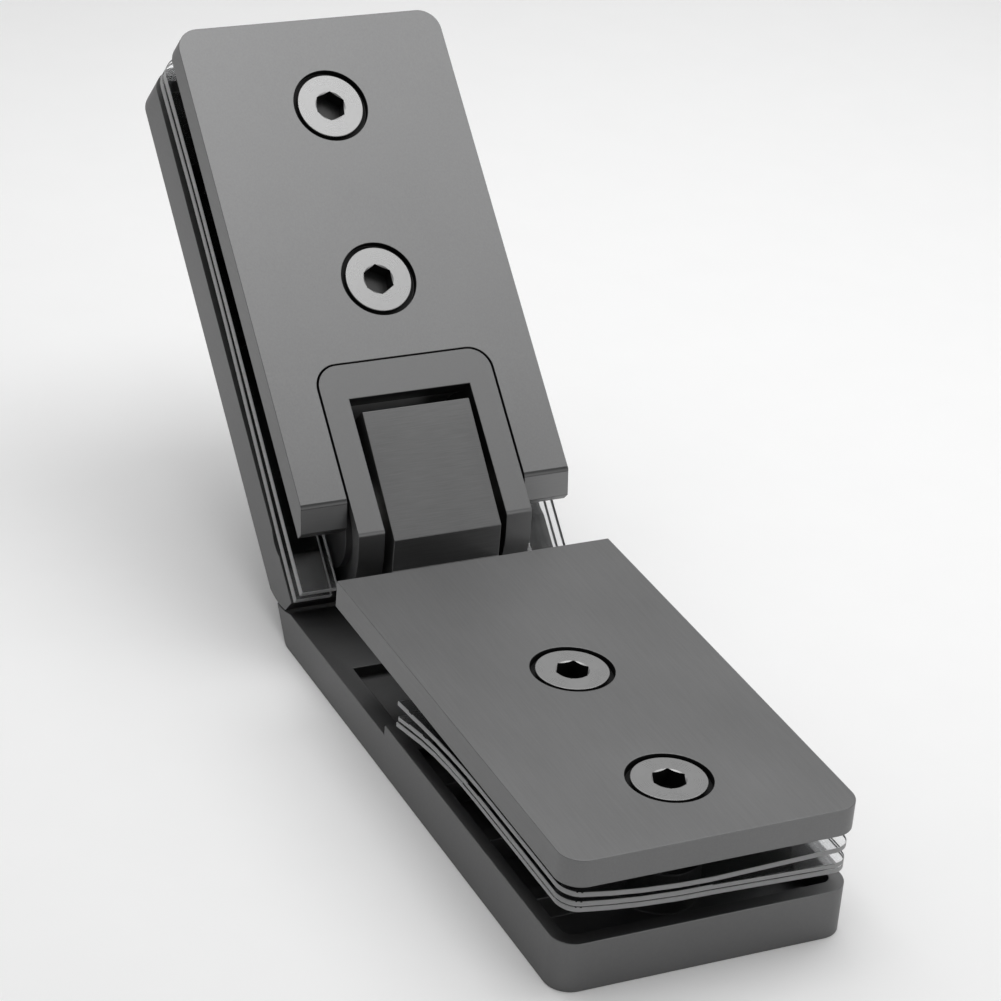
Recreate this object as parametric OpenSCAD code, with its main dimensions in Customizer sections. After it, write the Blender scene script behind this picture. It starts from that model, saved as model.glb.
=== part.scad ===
// Clamp hinge for a frameless glass door, bent to 135 degrees between two panes.
// The frame: X runs along the pivot pin, the fixed leaf lies on Z = 0 and the door leaf rises
// towards +Y. The origin is on the fixed leaf's outer face, midway between its cover screws.

/* [Leaves] */
// Width of both leaves along the pin
leaf_w = 50; // [46:0.5:58]
// Thickness of a leaf from its outer face to the face of its cover plate
leaf_t = 23.5; // [22.5:0.1:26]
// Distance from the pin axis to the far end of the fixed leaf
fixed_reach = 110.5; // [104:0.5:125]
// Distance from the pin axis to the far end of the door leaf
door_reach = 90.3; // [86:0.1:105]
// Radius of the far corners in plan
corner_r = 4; // [3:0.5:8]
// Bend between the leaves with the door shut
shut_bend = 45; // [44:0.5:46]
// Bend between the leaves as the hinge lies, pushed back against its stop
rest_bend = 42; // [41:0.5:44]

/* [Pivot] */
// Height of the pin axis above the outer face of the fixed leaf
pin_h = 19.9; // [19.6:0.1:20.5]
// Height of the pin axis above the outer face of the door leaf
door_pin_t = 12.4; // [12:0.1:12.8]
// Diameter of the pivot pin
pin_d = 10; // [8:0.5:10.5]
// Depth of the two flats that the plungers press on
flat_depth = 0.7; // [0.3:0.1:1]
// Width of the pivot block
block_w = 20; // [19:0.5:21]
// Distance from the pin axis to the far end of the pivot block
block_reach = 16.3; // [15.5:0.1:16.8]
// Distance from the pin axis to the upright face of the pivot block
block_face = 12.7; // [12.4:0.1:13.5]
// Distance from the pin axis to the end of the block's foot
foot_reach = 38; // [35:0.5:40]
// Height of the foot above the land it is screwed to
foot_h = 10; // [9:0.5:11]
// Radius of the round back of the block, about the pin
knuckle_r = 11.9; // [11:0.1:12]

/* [Yoke] */
// Width of the yoke over its two arms
yoke_w = 32.3; // [30:0.1:34]
// Width of the window between the arms
window_w = 22.6; // [22.2:0.1:24]
// Distance from the pin axis to the far edge of the window
window_reach = 18.6; // [18.2:0.1:19.5]
// Thickness of the cross bar beyond the window
bar_t = 6.35; // [5.5:0.05:8]
// Radius of the outer corners of the yoke
yoke_r = 4; // [3:0.5:5]
// Radius of the nose of each arm about the pin
nose_r = 11.9; // [11:0.1:12.2]
// Gap between the cross bar and the cover plate
bar_slit = 0.3; // [0.3:0.1:1]
// Gap between the side of an arm and the cover plate
arm_slit = 0.4; // [0.3:0.05:1.2]
// Radius of the shallow round seat of each pin cap
cap_seat_r = 9.6; // [8.5:0.1:10]
// Depth of that seat
cap_seat_depth = 1; // [0.6:0.1:1.4]
// Radius of the pin caps
cap_r = 7; // [6:0.1:8]

/* [Back plates] */
// Height of the rim of the fixed leaf's back plate
fixed_rim = 8.7; // [8.2:0.1:9.5]
// Height of the rim of the door leaf's back plate
door_rim = 8; // [7.8:0.1:9]
// Height of the lowered land beside the hinge on the fixed leaf
land_h = 6.9; // [6.4:0.1:7]
// Distance from the pin axis to the step up from that land to the rim
step_reach = 45.5; // [43:0.5:48]
// Floor thickness of the cast pockets
floor_t = 3; // [2.4:0.1:4]
// Width of the rim around the pockets
rim_w = 2.3; // [2:0.1:4]
// Thickness of the ribs in the pockets
rib_t = 3; // [2:0.1:4]
// How far the tops of the ribs lie below the rim
rib_drop = 1.7; // [0.5:0.1:3]
// Diameter of the tapped bosses
boss_d = 13; // [11:0.5:15]
// Depth of the two side recesses in the land
recess_depth = 1.9; // [1:0.1:2.5]
// Distance from the pin axis to the near wall of those recesses
recess_near = 24.7; // [20:0.1:28]
// Width of the strip beside each recess
recess_strip = 3.4; // [3:0.1:5]
// Radius about the pin of the end of the door leaf's back plate
door_end_r = 13.6; // [13.2:0.1:13.8]
// Distance from the pin axis to the square end of the door leaf's back plate
door_end = 11; // [10:0.1:11.4]
// Angle at which the end of the fixed leaf leans back
heel_lean = 37; // [30:1:42]
// Radius of the heel where that end meets the outer face
heel_r = 2; // [1:0.5:3]

/* [Cover plates] */
// Thickness of both cover plates
cover_t = 4.8; // [4.6:0.1:6]
// Distance from the pin axis to the near end of the fixed cover
fixed_cover_near = 23.4; // [23:0.1:27]
// Distance from the pin axis to the near end of the door cover, on its face
door_cover_near = 0.6; // [0.5:0.1:3]
// Slope of the wide bevel along that end
door_cover_slope = 50; // [40:1:55]
// Depth of that bevel
door_cover_bevel = 3.1; // [2:0.1:3.6]

/* [Cover screws] */
// Nominal diameter of the cover screws
screw_d = 6; // [5:0.5:6]
// Diameter of their countersunk heads
head_d = 12; // [11:0.5:13]
// Diameter of the straight recess round each head
seat_d = 13.7; // [13.2:0.1:15]
// Depth of that recess, down to the conical seat
seat_depth = 1.4; // [1:0.1:1.8]
// How far the heads lie below the face of the cover
head_sink = 0.15; // [0.1:0.05:0.6]
// Size across the flats of their hexagon sockets
hex_af = 5; // [4:0.5:5]
// Depth of the chamfer at the mouth of the sockets
hex_mouth = 0.15; // [0.1:0.05:0.4]
// Distance between the two screws of a leaf
screw_pitch = 33.5; // [30:0.5:36]
// Distance from the far end of the fixed leaf to its outer screw
fixed_screw_edge = 16.3; // [14:0.1:20]
// Distance from the far end of the door leaf to its outer screw
door_screw_edge = 17; // [14:0.1:20]

/* [Gaskets] */
// Thickness of the door leaf's two clear gaskets
door_gasket_t = 1.5; // [1:0.1:1.6]
// Half width of their notch round the yoke
gasket_notch = 18.3; // [17.8:0.1:19]
// Distance past the pin axis that they reach
gasket_tail = 11.4; // [10:0.1:11.6]
// How far the rear one lies above the rim at its near end
rear_gasket_gap = 1.1; // [0.8:0.1:1.4]
// How far it rises along the leaf
rear_gasket_rise = 1.8; // [1:0.1:2]
// How far the front one rises along the leaf
front_gasket_rise = 0.7; // [0.4:0.1:1]
// How far both drop again towards their far ends
door_gasket_drop = 0.7; // [0:0.1:0.8]
// Thickness of the fixed leaf's three clear gaskets
fixed_gasket_t = 0.9; // [0.8:0.1:1]
// Distance from the pin axis to their near ends
fixed_gasket_near = 49.7; // [48:0.1:54]
// How far the upper one curls up at its left edge
upper_curl = 2.6; // [2:0.1:2.8]
// How far the lower two curl up there
lower_curl = 2.3; // [1.6:0.1:2.4]
// Gap between the upper one and the next along the middle
pack_gap = 0.5; // [0.4:0.1:0.8]

/* [Detent] */
// Diameter of the two plungers
plunger_d = 6; // [5:0.1:6.2]
// Distance between the two plungers
plunger_pitch = 7.4; // [7:0.1:7.6]
// Length of each plunger
plunger_l = 4; // [3:0.1:4.5]
// Length of each threaded plug behind a spring
plug_l = 2.6; // [2:0.1:3]
// Wire diameter of the springs
wire_d = 0.9; // [0.6:0.1:1]
// Turns in each spring
spring_turns = 2.5; // [2:0.5:3]
// Length of the sleeve of each flanged bush
bush_l = 2.8; // [2:0.1:3]
// Thickness of its wall
bush_wall = 1.9; // [1.2:0.1:2]
// Radius of its flange
flange_r = 7.6; // [7.4:0.1:8.5]

/* [Clearances] */
// Running gap between the pin and its bushes
running_gap = 0.05; // [0.03:0.01:0.08]
// Gap between pieces fitted into each other
fit_gap = 0.02; // [0.01:0.01:0.05]
// Gap between pieces that pass each other
pass_gap = 0.3; // [0.3:0.05:0.5]

/* [Hidden] */
$fn = 64;
pin_r = pin_d / 2;
screw_r = screw_d / 2;
far_side = leaf_w + 10;
face_v = leaf_t - door_pin_t;
lip_r = door_end_r + pass_gap;
lip_y = sqrt(lip_r * lip_r - pow(pin_h - land_h, 2));
tail_lean = tan(heel_lean);
heel_y = 3.6;
pocket_near = step_reach + 3;
pocket_end_w = 2.6;
yoke_reach = window_reach + bar_t;
notch_w = yoke_w + 2 * arm_slit;
notch_reach = yoke_reach + bar_slit;
gasket_hole_gap = 1;
swing_r = norm([block_reach, face_v]) + pass_gap;
cap_floor = yoke_w / 2 - cap_seat_depth;
cap_t = 1.2;
cap_stem_r = 2.5;
cap_stem_l = 4;
head_rim = 0.4;
block_screw_y = [foot_reach - 20.5, foot_reach - 7];
hex_depth = 3;
block_screw_tip = land_h + 7.5;
plunger_tip = pin_r + pass_gap;
spring_near = plunger_tip + plunger_l;
spring_far = block_reach - plug_l;
tap_end = 1.6;
fixed_screws = [fixed_reach - fixed_screw_edge - screw_pitch, fixed_reach - fixed_screw_edge];
door_screws = [door_reach - door_screw_edge - screw_pitch, door_reach - door_screw_edge];
clamp_mid = (fixed_screws[0] + fixed_screws[1]) / 2;
head_top = leaf_t - head_sink;
slot_top = leaf_t - cover_t;
upper_level = slot_top - pass_gap - upper_curl - fixed_gasket_t;
middle_level = upper_level - pack_gap - fixed_gasket_t;
lower_level = middle_level - 0.1 - fixed_gasket_t;
metal = "#5b5c5e";
metal_lit = "#6f7073";
steel = "#b9bab8";
clear = "#cfd6d8";
nylon = "#e6e4dc";

// Extrudes an outline in the Y-Z plane, w wide and centred on X = 0
module across(w) {
    rotate([90, 0, 90]) translate([0, 0, -w / 2]) linear_extrude(w) children();
}

// Round bar along X from x0 to x1
module bar_x(r, x0, x1) {
    translate([x0, 0, 0]) rotate([0, 90, 0]) cylinder(r = r, h = x1 - x0);
}

// Local frames: Y runs from the pin axis out along the leaf, Z from its outer face to its cover
module in_fixed() {
    translate([0, clamp_mid, 0]) mirror([0, 1, 0]) children();
}
module in_door() {
    on_pin() rotate([rest_bend, 0, 0]) translate([0, 0, -door_pin_t]) children();
}

// Local frame on the pin axis
module on_pin() {
    translate([0, clamp_mid, pin_h]) children();
}

// The block's frame is on the pin axis, with Y along the block and Z out of its face
module in_block() {
    on_pin() rotate([shut_bend, 0, 0]) children();
}

// The children and their mirror image across X = 0
module both_sides() {
    children();
    mirror([1, 0, 0]) children();
}

// The children, or for side = -1 their mirror image across X = 0
module on_side(side) {
    mirror([side < 0 ? 1 : 0, 0, 0]) children();
}

// Points on an arc from angle a0 to a1
function arc(centre, r, a0, a1, steps = 16) =
    [for (i = [0 : steps]) centre + r * [cos(a0 + (a1 - a0) * i / steps), sin(a0 + (a1 - a0) * i / steps)]];

// Outline of a plate in plan, square at its near end and rounded at its far end
module leaf_plan(near, far, w = leaf_w, r = corner_r) {
    translate([-w / 2, near]) square([w, far - near - r]);
    translate([r - w / 2, near]) square([w - 2 * r, far - near]);
    for (side = [-1, 1]) translate([side * (w / 2 - r), far - r]) circle(r);
}

// Pocket with rounded corners, less its ribs and bosses
module pocket(near, far, rim, screws) {
    w = leaf_w - 2 * rim_w;
    mid = (screws[0] + screws[1]) / 2;
    r = corner_r - rim_w;
    difference() {
        translate([0, 0, floor_t]) linear_extrude(rim) {
            leaf_plan(near + r, far, w, r);
            translate([r - w / 2, near]) square([w - 2 * r, far - near - r]);
            for (side = [-1, 1]) translate([side * (w / 2 - r), near + r]) circle(r);
        }
        for (y = [screws[0], mid, screws[1]])
            translate([-w / 2 - 1, y - rib_t / 2, 0]) cube([w + 2, rib_t, rim - rib_drop]);
        for (y = screws) translate([0, y, 0]) cylinder(d = boss_d, h = rim);
    }
}

// Blind tapped hole from the top of a boss down to z = tip
module tapped_hole(y, tip, top) {
    translate([0, y, tip]) cylinder(r = screw_r + fit_gap, h = top - tip + 1);
}

// Hole through a cover: a straight recess round the head, its conical seat, and the screw's clearance
module countersink(y) {
    cone_h = (head_d - screw_d) / 2;
    translate([0, y, leaf_t - seat_depth]) cylinder(d = seat_d, h = seat_depth + 1);
    translate([0, y, head_top - head_rim - cone_h - 1.5 * fit_gap])
        cylinder(d1 = screw_d, d2 = head_d, h = cone_h);
    translate([0, y, 0]) cylinder(r = screw_r + pass_gap, h = leaf_t);
}

// Countersunk screw with a hexagon socket, its head up at z = top and its point at z = tip, driven
// home until its socket stands at an angle of turn
module countersunk_screw(y, tip, top, turn = 0) {
    cone_h = (head_d - screw_d) / 2;
    color(steel) translate([0, y, 0]) rotate([0, 0, turn]) difference() {
        union() {
            translate([0, 0, top - head_rim]) cylinder(d = head_d, h = head_rim);
            translate([0, 0, top - head_rim - cone_h]) cylinder(d1 = screw_d, d2 = head_d, h = cone_h);
            translate([0, 0, tip]) cylinder(r = screw_r, h = top - tip - head_rim);
        }
        translate([0, 0, top - hex_depth]) cylinder(d = hex_af / cos(30), h = hex_depth + 1, $fn = 6);
        translate([0, 0, top - hex_mouth])
            cylinder(d1 = hex_af, d2 = hex_af + 4 * hex_mouth, h = 1.1 * hex_mouth);
    }
}

module fixed_back_plate() {
    color(metal) in_fixed() difference() {
        intersection() {
            across(far_side) polygon(concat(
                [[-heel_y + 2 * tail_lean, land_h], [heel_y - land_h * tail_lean, land_h]],
                arc([heel_y + heel_r * tan(45 - heel_lean / 2), heel_r], heel_r, 180 + heel_lean, 270, 8),
                [[fixed_reach, 0], [fixed_reach, fixed_rim], [step_reach, fixed_rim], [step_reach, land_h]]));
            linear_extrude(leaf_t) leaf_plan(-heel_y, fixed_reach);
        }
        translate([0, 0, pin_h]) bar_x(lip_r, -far_side / 2, far_side / 2);
        pocket(pocket_near, fixed_reach - pocket_end_w, fixed_rim, fixed_screws);
        for (side = [-1, 1]) side_recess(side);
        for (y = fixed_screws) tapped_hole(y, tap_end, fixed_rim);
        for (y = block_screw_y) block_screw_hole(y);
    }
}

// Shallow recess between the strip along the edge and the land under the block's foot
module side_recess(side) {
    inner = block_w / 2 + 0.5;
    outer = leaf_w / 2 - recess_strip;
    x0 = side > 0 ? inner : -outer;
    translate([x0, recess_near, land_h - recess_depth])
        cube([outer - inner, pocket_near + rib_t - recess_near, fixed_rim]);
}

// Countersunk hole from the outer face for a screw into the block's foot
module block_screw_hole(y) {
    cone_h = (head_d - screw_d) / 2;
    translate([0, y, head_rim]) cylinder(d1 = head_d + 4 * fit_gap, d2 = screw_d + 2 * fit_gap, h = cone_h);
    translate([0, y, -1]) cylinder(d = head_d + 4 * fit_gap, h = 1 + head_rim);
    translate([0, y, -1]) cylinder(r = screw_r + fit_gap, h = land_h + 2);
}

module fixed_cover() {
    color(metal_lit) in_fixed() difference() {
        translate([0, 0, slot_top]) linear_extrude(cover_t) leaf_plan(fixed_cover_near, fixed_reach);
        for (y = fixed_screws) countersink(y);
    }
}

// Sheet that follows a curve along the leaf: level gives its lower face at a distance from the pin
module curved_sheet(thick, near, far, level) {
    steps = 16;
    ys = [for (i = [0 : steps]) near + (far - near) * i / steps];
    across(far_side) polygon(concat(
        [for (y = ys) [y, level(y)]],
        [for (i = [steps : -1 : 0]) [ys[i], level(ys[i]) + thick]]));
}

// Sheet that curls both ways, of flat triangles: level gives its lower face at a point of the leaf
module curled_sheet(thick, near, far, level) {
    edge = leaf_w / 2 + 1;
    xs = [-edge, -0.84 * edge, -0.66 * edge, -0.46 * edge, -0.22 * edge, 0, 0.3 * edge, 0.65 * edge, edge];
    steps = 12;
    ys = [for (i = [0 : steps]) near + (far - near) * i / steps];
    n = len(xs);
    floor_pts = [for (y = ys) for (x = xs) [x, y, level(x, y)]];
    roof = len(floor_pts);
    quads = concat(
        [for (i = [0 : steps - 1]) for (j = [0 : n - 2])
            [i * n + j, i * n + j + 1, (i + 1) * n + j + 1, (i + 1) * n + j]],
        [for (i = [0 : steps - 1]) for (j = [0 : n - 2])
            [roof + i * n + j, roof + (i + 1) * n + j, roof + (i + 1) * n + j + 1, roof + i * n + j + 1]],
        [for (j = [0 : n - 2]) for (i = [0, steps * n]) i == 0
            ? [j, roof + j, roof + j + 1, j + 1]
            : [i + j + 1, roof + i + j + 1, roof + i + j, i + j]],
        [for (i = [0 : steps - 1]) for (j = [0, n - 1]) j == 0
            ? [(i + 1) * n, roof + (i + 1) * n, roof + i * n, i * n]
            : [i * n + j, roof + i * n + j, roof + (i + 1) * n + j, (i + 1) * n + j]]);
    polyhedron(concat(floor_pts, [for (p = floor_pts) p + [0, 0, thick]]),
        [for (q = quads) for (t = [[q[0], q[1], q[2]], [q[0], q[2], q[3]]]) t]);
}

// Smooth step from 0 to 1 as t goes from a to b
function ease(a, b, t) = let (k = min(1, max(0, (t - a) / (b - a)))) k * k * (3 - 2 * k);

// One of the loose sheets of the fixed leaf, pushed against the left edge of the slot: it dips by dip
// at its near end and curls up at its left edge, and towards the right it rises by right_rise
module fixed_gasket(near, rest_level, dip, dip_run, left_curl, right_rise) {
    far = fixed_reach - pass_gap;
    half = leaf_w / 2;
    level = function (x, y) rest_level - dip * pow(1 - min(1, max(0, (y - near) / dip_run)), 2)
        + ease(near - 10, near + 30, y) * (x < 0 ? left_curl * pow(x / half, 2) : right_rise * x / half);
    color(clear) in_fixed() difference() {
        intersection() {
            curled_sheet(fixed_gasket_t, near - 1, far + 1, level);
            translate([-1.5 * pass_gap, 0, 0]) linear_extrude(leaf_t)
                leaf_plan(near, far, leaf_w - 3 * pass_gap, corner_r - 1);
        }
        for (y = fixed_screws) translate([0, y, 0]) cylinder(r = screw_r + gasket_hole_gap, h = leaf_t);
    }
}
module fixed_gasket_upper() { fixed_gasket(fixed_gasket_near, upper_level, 0.4, 15, upper_curl, 0.7); }
module fixed_gasket_middle() {
    fixed_gasket(fixed_gasket_near + 0.6, middle_level, 1.6, 15, lower_curl, -0.9);
}
module fixed_gasket_lower() { fixed_gasket(fixed_gasket_near, lower_level, 2, 20, lower_curl, -0.9); }

module fixed_screw_near() { in_fixed() countersunk_screw(fixed_screws[0], tap_end + 0.4, head_top); }
module fixed_screw_far() { in_fixed() countersunk_screw(fixed_screws[1], tap_end + 0.4, head_top, -8); }

module pivot_block() {
    at_shut = function (p) [p[0] * cos(shut_bend) - p[1] * sin(shut_bend),
        p[0] * sin(shut_bend) + p[1] * cos(shut_bend) + pin_h];
    top_u = (face_v * sin(shut_bend) - block_face) / cos(shut_bend);
    foot_near = lip_y + 0.4;
    foot_turn = acos(-foot_near / knuckle_r);
    color(metal) difference() {
        translate([0, clamp_mid, 0]) across(block_w) polygon(concat(
            [[-block_face, land_h + foot_h], at_shut([top_u, face_v]), at_shut([block_reach, face_v]),
                at_shut([block_reach, -knuckle_r])],
            arc([0, pin_h], knuckle_r, shut_bend - 90, -foot_turn, 24),
            [[-foot_near, land_h], [-foot_reach, land_h], [-foot_reach, land_h + foot_h]]));
        on_pin() {
            bar_x(pin_r + pass_gap, -block_w, block_w);
            both_sides() bar_x(pin_r + bush_wall, block_w / 2 - bush_l, block_w);
        }
        for (x = [-1, 1] * plunger_pitch / 2) in_block() translate([x, 0, 0]) rotate([-90, 0, 0])
            cylinder(d = plunger_d + 2 * fit_gap, h = block_reach + 1);
        for (y = block_screw_y) in_fixed() translate([0, y, land_h - 1])
            cylinder(r = screw_r + fit_gap, h = block_screw_tip - land_h + 1.4);
    }
}

module block_screw(y) {
    in_fixed() mirror([0, 0, 1]) countersunk_screw(y, -block_screw_tip, 0);
}
module block_screw_near() { block_screw(block_screw_y[0]); }
module block_screw_far() { block_screw(block_screw_y[1]); }

// Round-nosed plunger in its bore, at the distance it is pushed back to by the round of the pin
module plunger(side) {
    nose = 0.8;
    color(steel) in_block() translate([side * plunger_pitch / 2, plunger_tip, 0]) rotate([-90, 0, 0]) {
        cylinder(d1 = plunger_d - 2 * nose, d2 = plunger_d, h = nose);
        translate([0, 0, nose]) cylinder(d = plunger_d, h = plunger_l - nose);
    }
}
module plunger_left() { plunger(-1); }
module plunger_right() { plunger(1); }

// Coil spring swept as rings of points along a helix
module spring(side) {
    ring = 8;
    per_turn = 20;
    n = per_turn * spring_turns;
    r = plunger_d / 2 - wire_d / 2 - 0.15;
    run = spring_far - spring_near - wire_d;
    pts = [for (i = [0 : n]) for (j = [0 : ring - 1])
        let (a = 360 * i / per_turn, b = 360 * j / ring, q = r + wire_d / 2 * cos(b))
        [q * cos(a), q * sin(a), wire_d / 2 + run * i / n + wire_d / 2 * sin(b)]];
    sides = [for (i = [0 : n - 1]) for (j = [0 : ring - 1])
        let (k = (j + 1) % ring) [i * ring + j, i * ring + k, (i + 1) * ring + k, (i + 1) * ring + j]];
    ends = [[for (j = [ring - 1 : -1 : 0]) j], [for (j = [0 : ring - 1]) n * ring + j]];
    color(steel) in_block() translate([side * plunger_pitch / 2, spring_near, 0]) rotate([-90, 0, 0])
        polyhedron(pts, concat(sides, ends));
}
module spring_left() { spring(-1); }
module spring_right() { spring(1); }

module plug(side) {
    color(steel) in_block() translate([side * plunger_pitch / 2, spring_far, 0]) rotate([-90, 0, 0])
        difference() {
            cylinder(d = plunger_d, h = plug_l);
            translate([0, 0, 0.8]) cylinder(d = 3 / cos(30), h = plug_l, $fn = 6);
        }
}
module plug_left() { plug(-1); }
module plug_right() { plug(1); }

// Flanged bush: its sleeve sits in the block and its flange keeps the arm off the block
module pin_bush(side) {
    color(nylon) on_pin() on_side(side) difference() {
        union() {
            bar_x(pin_r + bush_wall - fit_gap, block_w / 2 - bush_l, block_w / 2);
            bar_x(flange_r, block_w / 2, window_w / 2 - pass_gap);
        }
        bar_x(pin_r + running_gap, 0, block_w);
    }
}
module pin_bush_left() { pin_bush(-1); }
module pin_bush_right() { pin_bush(1); }

module door_back_plate() {
    color(metal) in_door() difference() {
        union() {
            door_plate();
            yoke();
        }
        translate([-window_w / 2, -2 * door_end, -1]) cube([window_w, 2 * door_end + window_reach, leaf_t + 2]);
        translate([0, 0, door_pin_t]) {
            bar_x(swing_r, -window_w / 2, window_w / 2);
            bar_x(pin_r + fit_gap, -leaf_w, leaf_w);
            both_sides() bar_x(cap_seat_r, cap_floor, yoke_w / 2 + 1);
        }
        pocket(yoke_reach + rib_t, door_reach - pocket_end_w, door_rim, door_screws);
        for (y = door_screws) tapped_hole(y, tap_end, door_rim);
    }
}

module door_plate() {
    square_turn = acos(-door_end / door_end_r);
    face_turn = 180 + asin(door_pin_t / door_end_r);
    intersection() {
        across(far_side) polygon(concat(
            arc([0, door_pin_t], door_end_r, 360 - square_turn, face_turn),
            [[door_reach, 0], [door_reach, door_rim], [-door_end, door_rim]]));
        linear_extrude(leaf_t) leaf_plan(-door_end - 1, door_reach);
    }
}

module yoke() {
    bevel_y = face_v - nose_r * sqrt(2);
    intersection() {
        across(yoke_w) polygon(concat(
            [[yoke_reach, 0], [yoke_reach, leaf_t], [bevel_y, leaf_t]],
            arc([0, door_pin_t], nose_r, 135, 230, 24),
            [[0, 0]]));
        linear_extrude(leaf_t) leaf_plan(-nose_r - 1, yoke_reach, yoke_w, yoke_r);
    }
}

module door_cover() {
    nose_y = door_cover_near - door_cover_bevel * tan(door_cover_slope);
    color(metal_lit) in_door() difference() {
        intersection() {
            across(far_side) polygon([[door_cover_near, leaf_t], [door_reach, leaf_t],
                [door_reach, slot_top], [nose_y, slot_top], [nose_y, leaf_t - door_cover_bevel]]);
            linear_extrude(leaf_t) leaf_plan(-cover_t, door_reach);
        }
        linear_extrude(leaf_t + 1) leaf_plan(-2 * cover_t, notch_reach, notch_w, yoke_r + bar_slit);
        for (y = door_screws) countersink(y);
    }
}

// One of the two sheets of the door leaf
module door_gasket(near_level, rise) {
    near = -gasket_tail;
    far = door_reach - pass_gap;
    level = function (y) near_level + rise * ease(near, 0.56 * far, y)
        - door_gasket_drop * ease(0.67 * far, far, y);
    color(clear) in_door() difference() {
        intersection() {
            curved_sheet(door_gasket_t, near, far, level);
            linear_extrude(leaf_t) leaf_plan(near, far);
        }
        linear_extrude(leaf_t) leaf_plan(2 * near, notch_reach + 2, 2 * gasket_notch, 3);
        for (y = door_screws) translate([0, y, 0]) cylinder(r = screw_r + gasket_hole_gap, h = leaf_t);
    }
}
module door_gasket_rear() { door_gasket(door_rim + rear_gasket_gap, rear_gasket_rise); }
module door_gasket_front() {
    door_gasket(door_rim + rear_gasket_gap + door_gasket_t + 2, front_gasket_rise);
}

module door_screw_near() { in_door() countersunk_screw(door_screws[0], tap_end + 0.4, head_top, 29); }
module door_screw_far() { in_door() countersunk_screw(door_screws[1], tap_end + 0.4, head_top, 18); }

module pivot_pin() {
    flat_y = pin_r - flat_depth;
    flat_w = block_w - 2 * bush_l;
    color(steel) in_door() translate([0, 0, door_pin_t]) difference() {
        bar_x(pin_r, -cap_floor, cap_floor);
        for (turn = [0, -90]) rotate([turn, 0, 0]) translate([-flat_w / 2, flat_y, -pin_d])
            cube([flat_w, pin_d, 2 * pin_d]);
        both_sides() bar_x(cap_stem_r + fit_gap, cap_floor - cap_stem_l - 0.2, leaf_w);
    }
}

// Cap screwed into the end of the pin, in the shallow seat on the side of the arm
module pin_cap(side) {
    color(metal) in_door() translate([0, 0, door_pin_t]) on_side(side) {
        bar_x(cap_r, cap_floor, cap_floor + cap_t);
        bar_x(cap_stem_r, cap_floor - cap_stem_l, cap_floor + cap_t / 2);
    }
}
module pin_cap_left() { pin_cap(-1); }
module pin_cap_right() { pin_cap(1); }

fixed_back_plate();
fixed_cover();
fixed_gasket_upper();
fixed_gasket_middle();
fixed_gasket_lower();
fixed_screw_near();
fixed_screw_far();
pivot_block();
block_screw_near();
block_screw_far();
plunger_left();
plunger_right();
spring_left();
spring_right();
plug_left();
plug_right();
pin_bush_left();
pin_bush_right();
door_back_plate();
door_cover();
door_gasket_rear();
door_gasket_front();
door_screw_near();
door_screw_far();
pivot_pin();
pin_cap_left();
pin_cap_right();
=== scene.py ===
# Looks of the glass door hinge: satin gunmetal leaves and pivot, stainless screws and clear gaskets.
from math import cos, radians, sin

import bmesh
import bpy
from mathutils import Matrix, Vector


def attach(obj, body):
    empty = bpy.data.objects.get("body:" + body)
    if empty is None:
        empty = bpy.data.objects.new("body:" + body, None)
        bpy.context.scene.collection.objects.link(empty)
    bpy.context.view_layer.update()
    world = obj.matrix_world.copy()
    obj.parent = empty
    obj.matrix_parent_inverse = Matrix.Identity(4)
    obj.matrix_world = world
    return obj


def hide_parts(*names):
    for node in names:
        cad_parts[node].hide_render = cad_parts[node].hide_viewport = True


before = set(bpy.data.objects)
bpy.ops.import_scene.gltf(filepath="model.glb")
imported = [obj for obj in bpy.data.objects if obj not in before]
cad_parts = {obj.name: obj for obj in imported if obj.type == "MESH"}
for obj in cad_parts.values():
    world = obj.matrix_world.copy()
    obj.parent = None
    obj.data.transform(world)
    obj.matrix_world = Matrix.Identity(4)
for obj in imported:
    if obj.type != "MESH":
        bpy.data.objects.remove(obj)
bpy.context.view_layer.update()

# Sizes of the hinge in metres, as the frame has them
mm = 0.001
pin_y = 77.45 * mm
pin_z = 19.9 * mm
door_pin_t = 12.4 * mm
leaf_t = 23.5 * mm
rest_bend = radians(42)
shut_bend = radians(45)

# Places on the door leaf: half widths across it, distances from the pin along it, and heights
# above its outer face. An edge is taken to be at such a place if its middle is within edge_slack
window_half = 11.4 * mm
arm_half = 15.9 * mm
rim_half = 22.3 * mm
arm_nose_along = -5.73 * mm
cover_end_along = 0.6 * mm
window_end_along = 19 * mm
bar_end_along = 19.5 * mm
rim_height = 8.1 * mm
edge_slack = 0.3 * mm

# Reach of the parts of a screw and its seat from its axis, and the depth of its socket
seat_r = 6.9 * mm
socket_r = 2.96 * mm
socket_rim_r = 3.3 * mm
socket_depth = 3.3 * mm

# Share of an edge's full width, for the places that are broken less than the rest
cover_edge_share = 0.12
thin_edge_share = 0.1
yoke_edge_share = 0.33

# How each kind of grain stretches the noise along x, y and z, and how blue the greys are
grain_stretch = {"leaf": (9, 0.35, 9), "pin": (0.5, 12, 12), "cast": (4, 4, 4)}
faint_cool = 0.004


# Materials
class Value:
    """An output socket; sums written with it add Math nodes to its finish"""

    def __init__(self, finish, socket):
        self.finish = finish
        self.socket = socket

    def __add__(self, other):
        return self.finish.math("ADD", self, other)

    def __sub__(self, other):
        return self.finish.math("SUBTRACT", self, other)

    def __mul__(self, other):
        return self.finish.math("MULTIPLY", self, other)

    def __rsub__(self, other):
        return self.finish.math("SUBTRACT", other, self)

    __radd__ = __add__
    __rmul__ = __mul__


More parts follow.
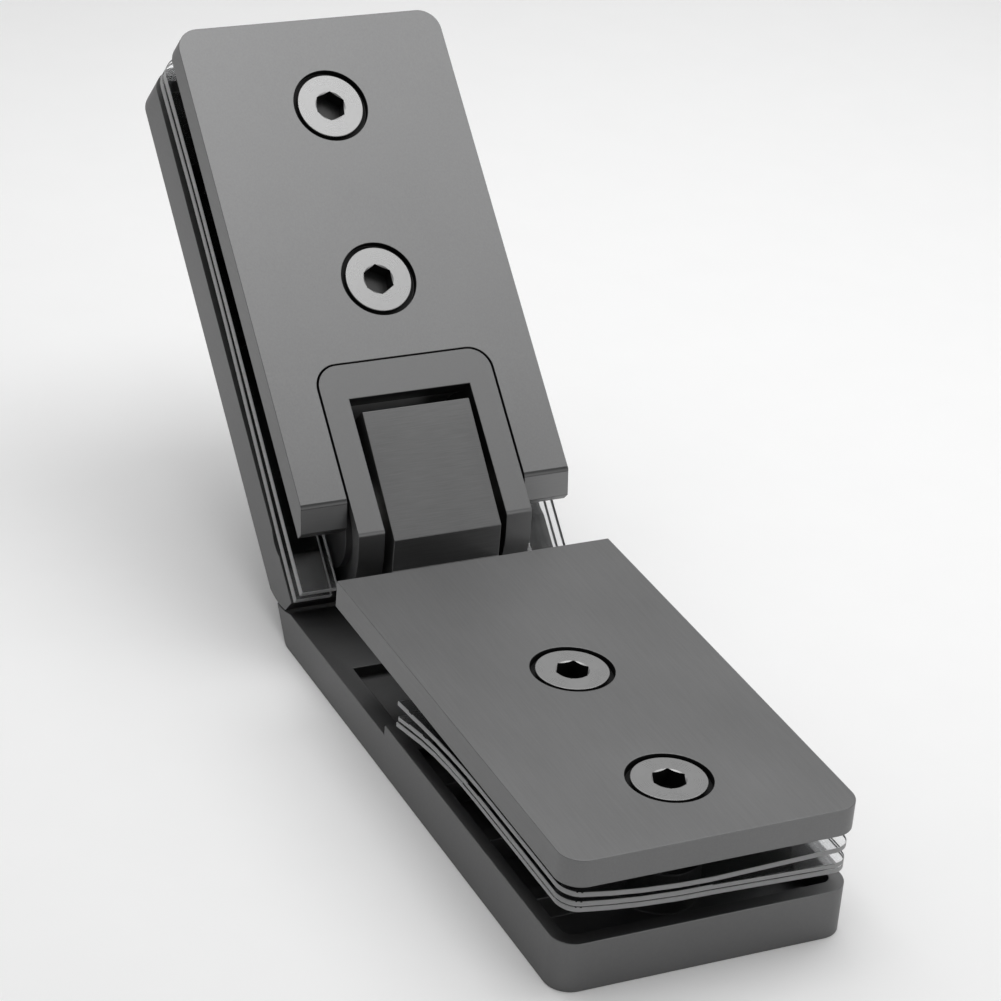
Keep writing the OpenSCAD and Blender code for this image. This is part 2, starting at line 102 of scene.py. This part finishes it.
class Finish:
    """A node-based material with one Principled shader"""

    def __init__(self, name, **constants):
        self.material = bpy.data.materials.new(name)
        self.material.use_nodes = True
        self.nodes = self.material.node_tree.nodes
        self.links = self.material.node_tree.links
        self.shader = self.nodes["Principled BSDF"]
        for socket, value in constants.items():
            self.shader.inputs[socket.replace("_", " ")].default_value = value

    def node(self, kind, settings, inputs, output=0):
        made = self.nodes.new(kind)
        for name, value in settings.items():
            setattr(made, name, value)
        for name, value in inputs.items():
            self.feed(made.inputs[name], value)
        return Value(self, made.outputs[output])

    def feed(self, socket, value):
        if isinstance(value, Value):
            self.links.new(value.socket, socket)
        else:
            socket.default_value = value

    def drive(self, socket, value):
        self.feed(self.shader.inputs[socket], value)

    def math(self, operation, a, b):
        return self.node("ShaderNodeMath", {"operation": operation}, {0: a, 1: b})

    def place(self, centre=(0, 0, 0), turn=(0, 0, 0), stretch=(1, 1, 1)):
        """Object coordinates seen from centre, turned and stretched along the grain"""
        coordinates = self.node("ShaderNodeTexCoord", {}, {}, "Object")
        moved = self.node(
            "ShaderNodeVectorMath", {"operation": "SUBTRACT"}, {0: coordinates, 1: centre}
        )
        return self.node(
            "ShaderNodeMapping", {}, {"Vector": moved, "Rotation": turn, "Scale": stretch}
        )

    def noise(self, place, scale, detail=3.0, roughness=0.55):
        inputs = {"Vector": place, "Scale": scale, "Detail": detail, "Roughness": roughness}
        return self.node("ShaderNodeTexNoise", {}, inputs)

    def mix(self, factor, a, b):
        return self.node("ShaderNodeMix", {"data_type": "RGBA"}, {"Factor": factor, 6: a, 7: b}, 2)

    def bump(self, height, strength, distance):
        inputs = {"Height": height, "Strength": strength, "Distance": distance}
        return self.node("ShaderNodeBump", {}, inputs)


def grey(level, cool=0.0):
    return (level * (1 - cool), level, level * (1 + cool), 1)


def gunmetal(
    name, level, roughness, tilt=0.0, grain="leaf", grain_depth=0.25, mottle=0.05, rim_level=0.0
):
    """Satin gunmetal plating: brushed grain along the leaf or the pin, and faint cloudy patches.
    rim_level is the lighter level that a painted shade takes over the outermost rim of a shaded face"""
    finish = Finish(name, Metallic=1.0)
    pin_centre = (0, pin_y, pin_z)
    turn = (-tilt, 0, 0)
    brushed = finish.noise(finish.place(pin_centre, turn, grain_stretch[grain]), 420.0, 4.0, 0.6)
    clouds = finish.noise(finish.place(pin_centre, turn), 38.0, 2.0)
    fine = finish.noise(finish.place(), 1900.0, 2.0)
    lift = (brushed - 0.5) * (mottle * 0.9) + (clouds - 0.5) * mottle
    dark, light = grey(level * 0.8, faint_cool), grey(level * 1.2, faint_cool)
    color = finish.mix(lift * 4 + 0.5, dark, light)
    # The rim level lightens a painted shade over the outermost rim
    if rim_level:
        x = finish.node("ShaderNodeSeparateXYZ", {}, {"Vector": finish.place()})
        outwards = finish.node("ShaderNodeMath", {"operation": "ABSOLUTE"}, {0: x})
        color = finish.mix((outwards - rim_half) * (1 / mm), color, grey(rim_level, faint_cool))
    finish.drive("Base Color", color)
    finish.drive("Roughness", (clouds - 0.5) * 0.12 + (fine - 0.5) * 0.05 + roughness)
    finish.drive("Normal", finish.bump(brushed * 0.8 + fine * 0.2, grain_depth, 0.02 * mm))
    return finish.material


def turned_steel(name, centre, tilt, level=0.34, roughness=0.3):
    """Turned stainless steel: fine rings round the screw's axis"""
    finish = Finish(name, Metallic=1.0)
    place = finish.place(centre, (-tilt, 0, 0))
    flat = finish.node("ShaderNodeVectorMath", {"operation": "MULTIPLY"}, {0: place, 1: (1, 1, 0)})
    rings = finish.node(
        "ShaderNodeTexWave",
        {"wave_type": "RINGS", "rings_direction": "SPHERICAL"},
        {"Vector": flat, "Scale": 900.0, "Distortion": 1.2, "Detail": 2.0, "Detail Scale": 2.0},
        1,
    )
    patches = finish.noise(finish.place(), 260.0, 3.0)
    finish.drive("Base Color", finish.mix(patches, grey(level * 0.9), grey(level * 1.08)))
    finish.drive("Roughness", (patches - 0.5) * 0.14 + (rings - 0.5) * 0.05 + roughness)
    finish.drive("Normal", finish.bump(rings, 0.12, 0.01 * mm))
    return finish.material


def clear_plastic(name, level, clarity, roughness):
    """Clear soft sheet with faint waves and scuffs"""
    finish = Finish(name, Transmission_Weight=clarity, IOR=1.4, Specular_IOR_Level=0.08)
    waves = finish.noise(finish.place(), 120.0, 2.0)
    scuffs = finish.noise(finish.place(), 900.0, 3.0)
    dark, light = grey(level * 0.94, faint_cool), grey(level, faint_cool)
    finish.drive("Base Color", finish.mix(waves, dark, light))
    finish.drive("Roughness", (scuffs - 0.5) * 0.1 + roughness)
    finish.drive("Normal", finish.bump(waves, 0.2, 0.1 * mm))
    return finish.material


def moulded_nylon(name):
    """Off-white moulded plastic with a faint orange-peel skin"""
    finish = Finish(name)
    skin = finish.noise(finish.place(), 1400.0, 2.0)
    finish.drive("Base Color", finish.mix(skin, (0.62, 0.61, 0.56, 1), (0.72, 0.71, 0.67, 1)))
    finish.drive("Roughness", (skin - 0.5) * 0.15 + 0.5)
    finish.drive("Normal", finish.bump(skin, 0.1, 0.03 * mm))
    return finish.material


cover_finish = gunmetal("gunmetal_door_cover", 0.17, 0.42, rest_bend, "leaf", 0.3, 0.17)
# The near end of the door cover is lighter as painted light, with its grain along the pin
painted_light_end_finish = gunmetal("gunmetal_end_painted_light", 0.195, 0.42, rest_bend, "pin", 0.3, 0.1)
# A painted dark reflection along the door cover's broken edges
painted_reflection_edge_finish = gunmetal("gunmetal_edge_painted_reflection", 0.08, 0.35, rest_bend)
yoke_finish = gunmetal("gunmetal_yoke_casting", 0.152, 0.45, rest_bend, "leaf", 0.3, 0.08)
block_finish = gunmetal("gunmetal_pivot_block", 0.14, 0.48, shut_bend, "pin", 0.5, 0.28)
fixed_finish = gunmetal("gunmetal_fixed_cover", 0.17, 0.42, 0.0, "leaf", 0.3, 0.17)
casting_finish = gunmetal("gunmetal_fixed_casting", 0.155, 0.48, 0.0, "cast", 0.4, 0.08)
# Painted shade for recesses and inner faces: screw seats, the door casting's inner side and its
# window's walls, lighter over the outer rim
painted_shade_finish = gunmetal("painted_shade_casting", 0.027, 0.6, 0.0, "cast", 0.5, 0.08, rim_level=0.085)
gasket_finish = clear_plastic("clear_gasket_sheet", 0.97, 1.0, 0.04)
gasket_edge = clear_plastic("clear_gasket_cut_edge", 0.7, 0.65, 0.4)
bush_finish = moulded_nylon("nylon_bush")
# Painted shade in the screws' hexagon sockets
painted_shade_socket_steel = turned_steel("stainless_socket_painted_shade", (0, 0, 0), 0.0, 0.05, 0.4)
pin_steel = turned_steel("stainless_pin", (0, pin_y, pin_z), 0.0)


# Places on the leaves
def in_leaf(y, v):
    """A point of the door leaf: y out from the pin along the leaf, v above its outer face"""
    up = v - door_pin_t
    return Vector((
        0,
        pin_y + y * cos(rest_bend) - up * sin(rest_bend),
        pin_z + y * sin(rest_bend) + up * cos(rest_bend),
    ))


def along_door(point):
    """Distance of a point from the pin along the door leaf, and its height above the outer face"""
    away = point - Vector((0, pin_y, pin_z))
    along = away.y * cos(rest_bend) + away.z * sin(rest_bend)
    height = door_pin_t + away.z * cos(rest_bend) - away.y * sin(rest_bend)
    return along, height


def off_axis(point, centre, axis):
    """How far a point lies from an axis"""
    away = point - centre
    return (away - axis * away.dot(axis)).length


upright = Vector((0, 0, 1))
door_normal = Vector((0, -sin(rest_bend), cos(rest_bend)))
door_screws = (in_leaf(39.8 * mm, leaf_t), in_leaf(73.3 * mm, leaf_t))
fixed_screws = (Vector((0, pin_y - 60.7 * mm, leaf_t)), Vector((0, pin_y - 94.2 * mm, leaf_t)))
block_screws = (Vector((0, pin_y - 17.5 * mm, 0)), Vector((0, pin_y - 31 * mm, 0)))


def in_seat(centres, axis):
    """Tells the inside of the screws' seats from the rest of a cover"""
    return lambda face: any(
        all(off_axis(vert.co, centre, axis) < seat_r for vert in face.verts) for centre in centres
    )


def cover_part(face):
    """Tells the screws' seats, which get painted shade, and the near end of the door cover, which
    gets painted light, from the rest of it
    """
    if in_seat(door_screws, door_normal)(face):
        return 1
    along = along_door(face.calc_center_median())[0]
    return 3 if along < 0 and abs(face.normal.x) < 0.5 else 0


def painted_shade_inside(face):
    """Tells the inner faces of the door leaf's casting that get painted shade: its inner side and the
    window's walls
    """
    centre = face.calc_center_median()
    along, height = along_door(centre)
    facing = face.normal.dot(door_normal)
    if abs(centre.x) < window_half and along < window_end_along and abs(facing) < 0.5:
        return True
    return height < rim_height and facing > 0.5


def on_yoke(point):
    """The noses of the arms are rounded most, their outer sides and the cross bar's end least"""
    along, height = along_door(point)
    on_face = height > leaf_t - edge_slack
    if on_face and abs(along - arm_nose_along) < edge_slack:
        return 1
    if abs(point.x) > arm_half or (on_face and along > bar_end_along):
        return thin_edge_share
    return yoke_edge_share


def near_end(point):
    """The long edge at the near end of the door cover is rounded further than the others"""
    along, height = along_door(point)
    off_edge = max(abs(along - cover_end_along), abs(height - leaf_t))
    return 1 if off_edge < edge_slack else cover_edge_share


# Pieces dressed from the frame's own solids
def dressed(
    node, body, materials, edge, segments=2, choice=None, easing=None, edge_material=-1
):
    """A copy of a CAD node with its flat faces joined and its sharp edges broken; choice(face)
    picks a face's material by its number, easing(place) says how much of the full width an edge
    is broken by, and edge_material is the number of the broken edges' own material"""
    mesh = bpy.data.meshes.new(node + "_dressed")
    made = bmesh.new()
    made.from_mesh(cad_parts[node].data)
    bmesh.ops.remove_doubles(made, verts=made.verts, dist=0.001 * mm)
    bmesh.ops.dissolve_limit(made, angle_limit=radians(0.5), verts=made.verts, edges=made.edges)
    weight = made.edges.layers.float.new("bevel_weight_edge")
    for face in made.faces:
        face.smooth = True
        face.material_index = int(choice(face)) if choice else 0
    for side in made.edges:
        side.smooth = len(side.link_faces) == 2 and side.calc_face_angle(0) < radians(20)
        middle = (side.verts[0].co + side.verts[1].co) / 2
        side[weight] = 0 if side.smooth else easing(middle) if easing else 1
    made.to_mesh(mesh)
    made.free()
    piece = bpy.data.objects.new(node + "_dressed", mesh)
    bpy.context.scene.collection.objects.link(piece)
    for material in materials:
        mesh.materials.append(material)
    broken = piece.modifiers.new("broken_edges", "BEVEL")
    broken.width = edge
    broken.segments = segments
    broken.limit_method = "WEIGHT"
    broken.use_clamp_overlap = False
    broken.harden_normals = True
    broken.material = edge_material
    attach(piece, body)
    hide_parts(node)


# The door cover's screw seats get painted shade, its broken edges a painted dark reflection and its
# near end painted light
dressed(
    "door_cover", "door_leaf", [cover_finish, painted_shade_finish, painted_reflection_edge_finish, painted_light_end_finish],
    0.5 * mm, 3, cover_part, near_end, edge_material=2,
)
# The inner side of the door leaf's casting and its window's walls get painted shade
dressed(
    "door_back_plate", "door_leaf", [yoke_finish, painted_shade_finish],
    0.45 * mm, 3, painted_shade_inside, on_yoke,
)
# The fixed cover's screw seats get painted shade
dressed(
    "fixed_cover", "fixed_leaf", [fixed_finish, painted_shade_finish],
    0.15 * mm, choice=in_seat(fixed_screws, upright),
)
dressed("fixed_back_plate", "fixed_leaf", [casting_finish], 0.15 * mm)
dressed("pivot_block", "fixed_leaf", [block_finish], 0.15 * mm)
for side in ("left", "right"):
    dressed("pin_cap_" + side, "door_leaf", [yoke_finish], 0.05 * mm)

for node, body, centre, tilt, axis, level in (
    ("door_screw_near", "door_leaf", door_screws[0], rest_bend, door_normal, 0.26),
    ("door_screw_far", "door_leaf", door_screws[1], rest_bend, door_normal, 0.26),
    ("fixed_screw_near", "fixed_leaf", fixed_screws[0], 0.0, upright, 0.28),
    ("fixed_screw_far", "fixed_leaf", fixed_screws[1], 0.0, upright, 0.28),
    ("block_screw_near", "fixed_leaf", block_screws[0], 0.0, upright, 0.28),
    ("block_screw_far", "fixed_leaf", block_screws[1], 0.0, upright, 0.28),
):
    def in_socket(face):
        """Tells the hexagon's walls and floor, which get painted shade, from the rest of the head"""
        depth = abs((face.calc_center_median() - centre).dot(axis))
        chamfer = 0.5 < abs(face.normal.dot(axis)) < 0.95
        return depth < socket_depth and not chamfer and all(
            off_axis(vert.co, centre, axis) < socket_r for vert in face.verts
        )

    def at_rim(point):
        """Leaves the socket's edges sharp"""
        return 1 if off_axis(point, centre, axis) > socket_rim_r else 0

    steel = turned_steel("stainless_" + node, centre, tilt, level)
    # The socket's walls and floor get painted shade
    materials = [steel, painted_shade_socket_steel]
    dressed(node, body, materials, 0.12 * mm, choice=in_socket, easing=at_rim)

for node, body, normal in (
    ("fixed_gasket_upper", "fixed_leaf", upright),
    ("fixed_gasket_middle", "fixed_leaf", upright),
    ("fixed_gasket_lower", "fixed_leaf", upright),
    ("door_gasket_rear", "door_leaf", door_normal),
    ("door_gasket_front", "door_leaf", door_normal),
):
    def cut_edge(face):
        return abs(face.normal.dot(normal)) < 0.5

    materials = [gasket_finish, gasket_edge]
    dressed(node, body, materials, 0.1 * mm, 1, cut_edge)

# Nodes that stay as they are and only get a finish
for nodes, finish in (
    (("pivot_pin", "plunger_left", "plunger_right"), pin_steel),
    (("spring_left", "spring_right", "plug_left", "plug_right"), pin_steel),
    (("pin_bush_left", "pin_bush_right"), bush_finish),
):
    for node in nodes:
        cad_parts[node].data.materials.clear()
        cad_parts[node].data.materials.append(finish)


# Studio: a pale floor, six soft lights and pale surroundings
def pale_floor():
    made = bmesh.new()
    bmesh.ops.create_circle(made, cap_ends=True, segments=96, radius=3)
    mesh = bpy.data.meshes.new("studio_floor")
    made.to_mesh(mesh)
    made.free()
    floor = bpy.data.objects.new("studio_floor", mesh)
    bpy.context.scene.collection.objects.link(floor)
    paper = Finish("pale_paper", Specular_IOR_Level=0.2)
    pulp = paper.noise(paper.place(), 60.0, 2.0)
    paper.drive("Base Color", paper.mix(pulp, grey(0.92), grey(0.94)))
    paper.drive("Roughness", (pulp - 0.5) * 0.05 + 0.9)
    mesh.materials.append(paper.material)


def soft_light(name, around, above, distance, size, power):
    """A square soft light that faces the hinge; around 0 degrees is the front"""
    light = bpy.data.lights.new(name, "AREA")
    light.shape = "SQUARE"
    light.size = size
    light.energy = power
    lamp = bpy.data.objects.new(name, light)
    turn, lift = radians(around), radians(above)
    out = Vector((sin(turn) * cos(lift), -cos(turn) * cos(lift), sin(lift)))
    lamp.location = Vector((0, 45 * mm, 35 * mm)) + out * distance
    lamp.visible_camera = False
    lamp.rotation_mode = "QUATERNION"
    lamp.rotation_quaternion = (-out).to_track_quat("-Z", "Y")
    bpy.context.scene.collection.objects.link(lamp)


pale_floor()
for name, around, above, distance, size, power in (
    ("overhead_softbox", 0, 90, 0.45, 0.3, 0.65),
    ("right_softbox", 90, 55, 0.45, 0.3, 0.46),
    ("back_softbox", 180, 55, 0.45, 0.3, 0.32),
    ("left_back_softbox", 225, 55, 0.45, 0.3, 0.12),
    ("low_back_softbox", 135, 25, 0.45, 0.3, 0.14),
    ("low_front_softbox", 30, 8, 1.35, 0.9, 3.3),
):
    soft_light(name, around, above, distance, size, power)

scene = bpy.context.scene
scene.world = bpy.data.worlds.new("pale_studio")
scene.world.use_nodes = True
surroundings = scene.world.node_tree.nodes["Background"]
surroundings.inputs["Color"].default_value = grey(0.9)
surroundings.inputs["Strength"].default_value = 0.45
scene.view_settings.view_transform = "Standard"

# Camera at the photograph's viewing angle
around, above, roll = radians(-27.36), radians(27.894), radians(5.012)
target = Vector((-0.073, 46.48, 38.534)) * mm
distance = 571.535 * mm
back = Vector((sin(around) * cos(above), -cos(around) * cos(above), sin(above)))
right = upright.cross(back).normalized()
up = back.cross(right)
turned_right = right * cos(roll) + up * sin(roll)
turned_up = up * cos(roll) - right * sin(roll)
axes = Matrix((turned_right, turned_up, back)).transposed().to_4x4()
camera = bpy.data.objects.new("camera", bpy.data.cameras.new("camera"))
camera.data.lens = 125.72
camera.data.sensor_width = 36
camera.matrix_world = Matrix.Translation(target + back * distance) @ axes
scene.collection.objects.link(camera)
scene.camera = camera
